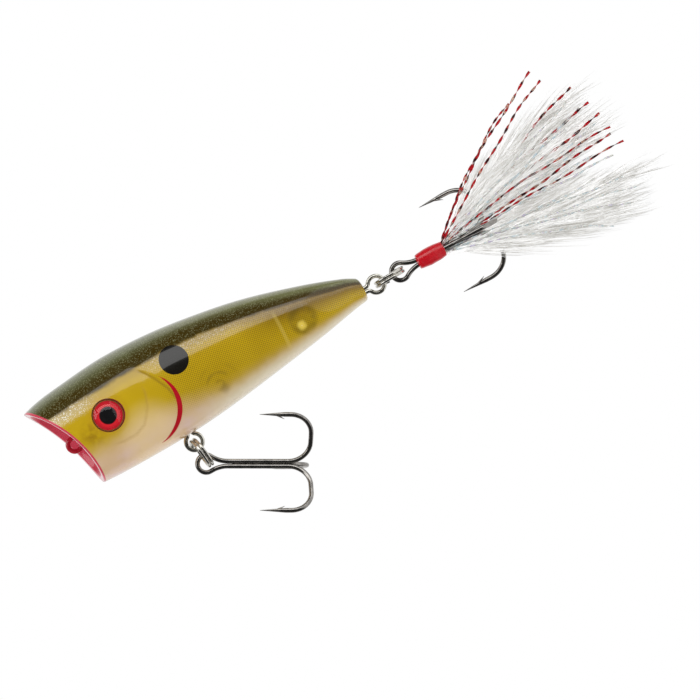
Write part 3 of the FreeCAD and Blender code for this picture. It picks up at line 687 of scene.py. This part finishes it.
# ------------------------------------------------------------ thread wrap
# Red tying thread wound over the shanks and the butts of the dressing, then
# lacquered to a glossy head that swells towards the feathers.
WRAP_LONGER = 0.7
WRAP_NECK = 1.10
WRAP_SWELL = 0.64
THREAD = 0.26
THREAD_RISE = 0.030
AROUND = 48
WRAP_ROWS = 210
low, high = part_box("thread_wrap")
WRAP_TOP = high.z / MM
WRAP_END = low.z / MM - WRAP_LONGER
WRAP_Y = (low.y + high.y) / 2 / MM
bpy.ops.object.select_all(action="DESELECT")
bpy.ops.mesh.primitive_grid_add(x_subdivisions=AROUND, y_subdivisions=WRAP_ROWS - 1, size=1)
wrap = bpy.context.object
wrap.name = "lacquered_wrap"
points = []
for level in range(WRAP_ROWS):
    share = level / (WRAP_ROWS - 1)
    for column in range(AROUND + 1):
        turn = 2 * math.pi * column / AROUND
        z = WRAP_TOP + (WRAP_END - WRAP_TOP) * share
        swell = math.sin(math.pi * min(1.0, 0.14 + share * 0.72)) ** 0.8
        girth = WRAP_NECK + WRAP_SWELL * swell
        coil = (z / THREAD + turn / (2 * math.pi)) * 2 * math.pi
        girth += THREAD_RISE * (abs(math.sin(coil / 2)) - 0.5)
        girth += 0.05 * noise.noise(Vector((math.cos(turn), math.sin(turn), z * 0.9)))
        girth *= min(1.0, (share / 0.035) ** 0.5) * min(1.0, ((1 - share) / 0.05) ** 0.5)
        points.append((math.cos(turn) * girth, WRAP_Y + math.sin(turn) * girth * 0.95, z))
wrap.data.vertices.foreach_set("co", [c * MM for p in points for c in p])
bpy.ops.object.mode_set(mode="EDIT")
bpy.ops.mesh.select_all(action="SELECT")
bpy.ops.mesh.remove_doubles(threshold=1e-6)
bpy.ops.mesh.normals_make_consistent(inside=False)
bpy.ops.object.mode_set(mode="OBJECT")
bpy.ops.object.shade_smooth()
lacquer, blank, shader, place = finish("lacquered_thread", Roughness=0.28, Coat_Weight=0.7,
                                       Coat_Roughness=0.06, Specular_IOR_Level=0.25)
cloud(1.6, 3.0).mix((0.40, 0.001, 0.006), (0.66, 0.003, 0.014)).feed(shader, "Base Color")
wrap.data.materials.clear()
wrap.data.materials.append(lacquer)
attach(wrap, "tail_treble")
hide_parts("thread_wrap")


# ------------------------------------------------------------ hackles
# Bundles of white marabou plumes tied in round the shanks. Each plume is a
# fine quill with soft barbs down both sides that lie back and fan at the tips.
ROOT = Vector((0, WRAP_Y + 0.1, WRAP_END + 0.5))
PLUME_BARBS = 68
draw = random.Random(7)


class Strands:
    """Fine tapered fibres gathered into one mesh, with a shade for each."""

    def __init__(self, name):
        self.name = name
        self.places = []
        self.faces = []
        self.shades = []

    def fibre(self, path, thick, shade):
        """A three-sided fibre along a path, closed at its root and drawn to a tip."""
        first = len(self.places)
        heading = (path[-1] - path[0]).normalized()
        side = heading.cross(Vector((0.31, 0.87, 0.38))).normalized()
        other = heading.cross(side)
        for index, point in enumerate(path[:-1]):
            radius = thick * (1 - 0.55 * index / (len(path) - 1))
            for corner in range(3):
                turn = corner * 2 * math.pi / 3
                spoke = side * math.cos(turn) + other * math.sin(turn)
                self.places.append(point + spoke * radius)
                self.shades.append((shade, index / (len(path) - 1)))
        self.places.append(path[-1])
        self.shades.append((shade, 1.0))
        tip = len(self.places) - 1
        self.faces.append((first + 2, first + 1, first))
        for index in range(len(path) - 2):
            base = first + 3 * index
            for corner in range(3):
                following = (corner + 1) % 3
                self.faces.append((base + corner, base + following,
                                   base + 3 + following, base + 3 + corner))
        for corner in range(3):
            self.faces.append((tip - 3 + corner, tip - 3 + (corner + 1) % 3, tip))

    def piece(self, material, node, slot):
        """Make the mesh, which rides on the treble in place of a node."""
        mesh = bpy.data.meshes.new(self.name)
        mesh.from_pydata([p * MM for p in self.places], [], self.faces)
        layer = mesh.uv_layers.new(name="fibre")
        for loop in mesh.loops:
            layer.data[loop.index].uv = self.shades[loop.vertex_index]
        mesh.materials.append(material)
        item = bpy.data.objects.new(self.name, mesh)
        bpy.context.scene.collection.objects.link(item)
        bpy.ops.object.select_all(action="DESELECT")
        item.select_set(True)
        bpy.context.view_layer.objects.active = item
        bpy.ops.object.mode_set(mode="EDIT")
        bpy.ops.mesh.select_all(action="SELECT")
        bpy.ops.mesh.normals_make_consistent(inside=False)
        bpy.ops.object.mode_set(mode="OBJECT")
        bpy.ops.object.shade_smooth()
        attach(item, "tail_treble")
        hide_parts(node)
        return item


def plume(strands, root, tip, bow, flat, barb, shade):
    """One feather: a quill bowed from root to tip, with barbs in its own plane."""
    def quill(share):
        return root.lerp(tip, share) + bow * (4 * share * (1 - share))

    strands.fibre([quill(k / 8) for k in range(9)], 0.10, shade * 0.7)
    for index in range(PLUME_BARBS):
        share = 0.10 + 0.88 * index / PLUME_BARBS
        heading = (quill(share + 0.02) - quill(share - 0.02)).normalized()
        wide = (flat - heading * flat.dot(heading)).normalized()
        for hand in (-1, 1):
            fullness = 0.62 + 0.38 * math.sin(math.pi * min(1, share + 0.15))
            reach = barb * fullness * draw.uniform(0.75, 1.1)
            splay = math.radians(draw.uniform(7, 20) * (1 - 0.35 * share))
            lift = heading.cross(wide) * draw.uniform(-0.10, 0.10)
            start = quill(share)
            first = heading * math.cos(splay) + wide * hand * math.sin(splay) + lift
            last = heading + wide * hand * math.sin(splay) * draw.uniform(0.1, 0.75) + lift * 0.5
            middle = start + first * reach * 0.4
            curl = middle + (first + last) * reach * 0.17
            end = curl + last.normalized() * reach * 0.28
            strands.fibre([start, middle, curl, end],
                          draw.uniform(0.035, 0.062), draw.uniform(0.0, 1.0) * shade)


# The fibres are opaque, and a faint glow stands for the light scattered inside the down.
down, blank, shader, place = finish("marabou", Roughness=0.55, Sheen_Weight=0.3)
shade, run, _ = axes(blank, blank.node("ShaderNodeUVMap", {}, {}))
tone = (shade * 0.95 + cloud(0.25) * 0.35 - run * 0.30).step(-0.05, 0.85)
hair = tone.mix((0.56, 0.55, 0.52), (0.98, 0.98, 0.98))
hair.feed(shader, "Base Color")
tone.mix((0.32, 0.31, 0.28), (1.0, 1.0, 1.0)).feed(shader, "Emission Color")
shader.inputs["Emission Strength"].default_value = 0.50
glow = blank.node("ShaderNodeBsdfTranslucent", {}, {"Color": hair})
solid = Shade(blank.tree, shader.outputs[0])
thin = blank.node("ShaderNodeMixShader", {}, {0: 0.35, 1: solid, 2: glow})
thin.feed(down.node_tree.nodes["Material Output"], "Surface")

# Lobe: root offset, first and last tip (x, z), bow at each, number of plumes, barb length.
LOBES = {
    "upper": ((0.9, 0.2), (14.6, -115.5), (5.0, -117.5), (2.4, 0.6), 10, 14.0),
    "lower": ((-0.8, 0.2), (-3.0, -122.0), (-10.8, -114.0), (-0.2, -0.9), 10, 14.0),
    "far": ((0.0, 0.9), (9.0, -112.0), (-6.5, -112.0), (1.0, -0.6), 7, 13.0),
}
# The span across the lure in which each lobe's tips lie.
DEPTH = {"upper": (-0.4, 2.6), "lower": (-0.2, 2.6), "far": (2.5, 6.5)}
for name, (offset, first_tip, last_tip, bows, count, barb) in LOBES.items():
    strands = Strands("marabou_" + name)
    for index in range(count):
        share = index / (count - 1)
        tip = Vector((first_tip[0] + (last_tip[0] - first_tip[0]) * share,
                      draw.uniform(*DEPTH[name]),
                      first_tip[1] + (last_tip[1] - first_tip[1]) * share + draw.uniform(-3, 2)))
        root = ROOT + Vector((offset[0] + 0.4 - 0.8 * share,
                              offset[1] + draw.uniform(-0.1, 0.3), 0))
        bow = Vector((bows[0] + (bows[1] - bows[0]) * share, draw.uniform(-0.3, 0.8), 0))
        flat = Vector((1, draw.uniform(-0.6, 0.6), 0.0))
        plume(strands, root, tip, bow, flat, barb, draw.uniform(0.6, 1.0))
    strands.piece(down, "hackle_" + name, "hackle")


# ------------------------------------------------------------ tinsel flash
# Twisted ribbons of metallic film tied in with the plumes: red and black
# barred film, and clear pearl film that shows changing colours.
RIBBON_STEPS = 64
RIBBON_THICK = 0.05


def ribbon(strands, path, width, twist, shade):
    """A thin twisted strip along a bowed path, closed at both ends."""
    first = len(strands.places)
    p0, p1, p2 = path
    for index in range(RIBBON_STEPS + 1):
        t = index / RIBBON_STEPS
        point = p0 * (1 - t) ** 2 + p1 * (2 * t * (1 - t)) + p2 * t * t
        point.x += 0.30 * t * math.sin(t * 15 + shade * 9)
        heading = ((p1 - p0) * (1 - t) + (p2 - p1) * t).normalized()
        side = heading.cross(Vector((0.2, 1, 0.1))).normalized()
        other = heading.cross(side)
        turn = twist * t * 2 * math.pi
        flat = side * math.cos(turn) + other * math.sin(turn)
        edge = heading.cross(flat)
        for a, b in ((-1, -1), (1, -1), (1, 1), (-1, 1)):
            strands.places.append(
                point + flat * a * width / 2 + edge * b * RIBBON_THICK / 2)
            strands.shades.append((shade, t))
    for index in range(RIBBON_STEPS):
        base = first + 4 * index
        for corner in range(4):
            following = (corner + 1) % 4
            strands.faces.append((base + corner, base + following,
                                  base + 4 + following, base + 4 + corner))
    strands.faces.append((first + 3, first + 2, first + 1, first))
    end = first + 4 * RIBBON_STEPS
    strands.faces.append((end, end + 1, end + 2, end + 3))


red_film, blank, shader, place = finish("red_barred_film", Roughness=0.22)
shade, run, _ = axes(blank, blank.node("ShaderNodeUVMap", {}, {}))
beat = blank.math("FRACT", run * 11.0 + shade * 3.7)
bars = beat.step(0.50, 0.58) * (1 - beat.step(0.86, 0.94))
glints = blank.node("ShaderNodeTexVoronoi", {}, {"Vector": place, "Scale": 1.6}, out="Color")
glint = blank.node("ShaderNodeSeparateXYZ", {}, {0: glints}, out="X")
film = bars.mix((0.58, 0.004, 0.012), (0.060, 0.004, 0.006))
film = (glint.step(0.80, 0.86) * 0.8).mix(film, (0.85, 0.55, 0.42))
film.feed(shader, "Base Color")
(0.35 + glint * 0.3).feed(shader, "Metallic")

# Tip and bow point of each red ribbon: x, y, z.
RED_RIBBONS = [
    ((22.3, -2.4, -112.9), (12.6, -1.2, -93.5)), ((20.4, -2.2, -114.0), (13.0, -1.1, -99.5)),
    ((19.2, -2.0, -106.4), (12.0, -1.0, -92.3)), ((16.4, -2.6, -118.6), (9.8, 3.6, -101.0)),
    ((8.7, -2.8, -121.2), (5.8, 3.8, -101.0)), ((5.6, -2.2, -121.9), (5.2, -1.2, -99.0)),
    ((4.8, -2.4, -121.3), (1.8, 1.6, -103.0)), ((2.0, -2.4, -122.9), (1.2, 0.9, -99.0)),
    ((11.6, -2.8, -120.3), (8.6, 4.0, -100.0))]
strands = Strands("red_barred_ribbons")
for index, (tip, bow) in enumerate(RED_RIBBONS):
    root = ROOT + Vector((0.9 - 0.1 * index, -0.15, 0))
    ribbon(strands, (root, Vector(bow), Vector(tip)), draw.uniform(0.44, 0.58), 7.5, draw.random())
strands.piece(red_film, "red_flash", "red_film")

PEARL_RIBBONS = 12
pearl, blank, shader, place = finish("pearl_film", Roughness=0.16, Coat_Weight=0.6)
shift = cloud(1.1)
hues = shift.node("ShaderNodeValToRGB", {"stops": [
    (0.0, (0.35, 0.62, 0.85)), (1.0, (0.88, 0.70, 0.78)), (0.42, (0.80, 0.90, 0.92)),
    (0.55, (0.92, 0.90, 0.80)), (0.70, (0.72, 0.66, 0.90))]}, {0: shift})
hues.feed(shader, "Base Color")
(0.05 + shift * 0.2).feed(shader, "Metallic")
(0.55 + 0.35 * shift).feed(shader, "Alpha")
strands = Strands("pearl_ribbons")
for index in range(PEARL_RIBBONS):
    share = index / (PEARL_RIBBONS - 1)
    tip = Vector((-11.5 + 26.0 * share, draw.uniform(-1.9, -0.9), -draw.uniform(113, 122)))
    bow = Vector((tip.x * 0.42 + draw.uniform(-1.5, 1.5), tip.y * 0.8, -99.0))
    root = ROOT + Vector((0.8 * (2 * share - 1), -0.1, 0))
    ribbon(strands, (root, bow, tip), draw.uniform(0.3, 0.45), draw.uniform(5, 9), draw.random())
strands.piece(pearl, "pearl_flash", "pearl_film")
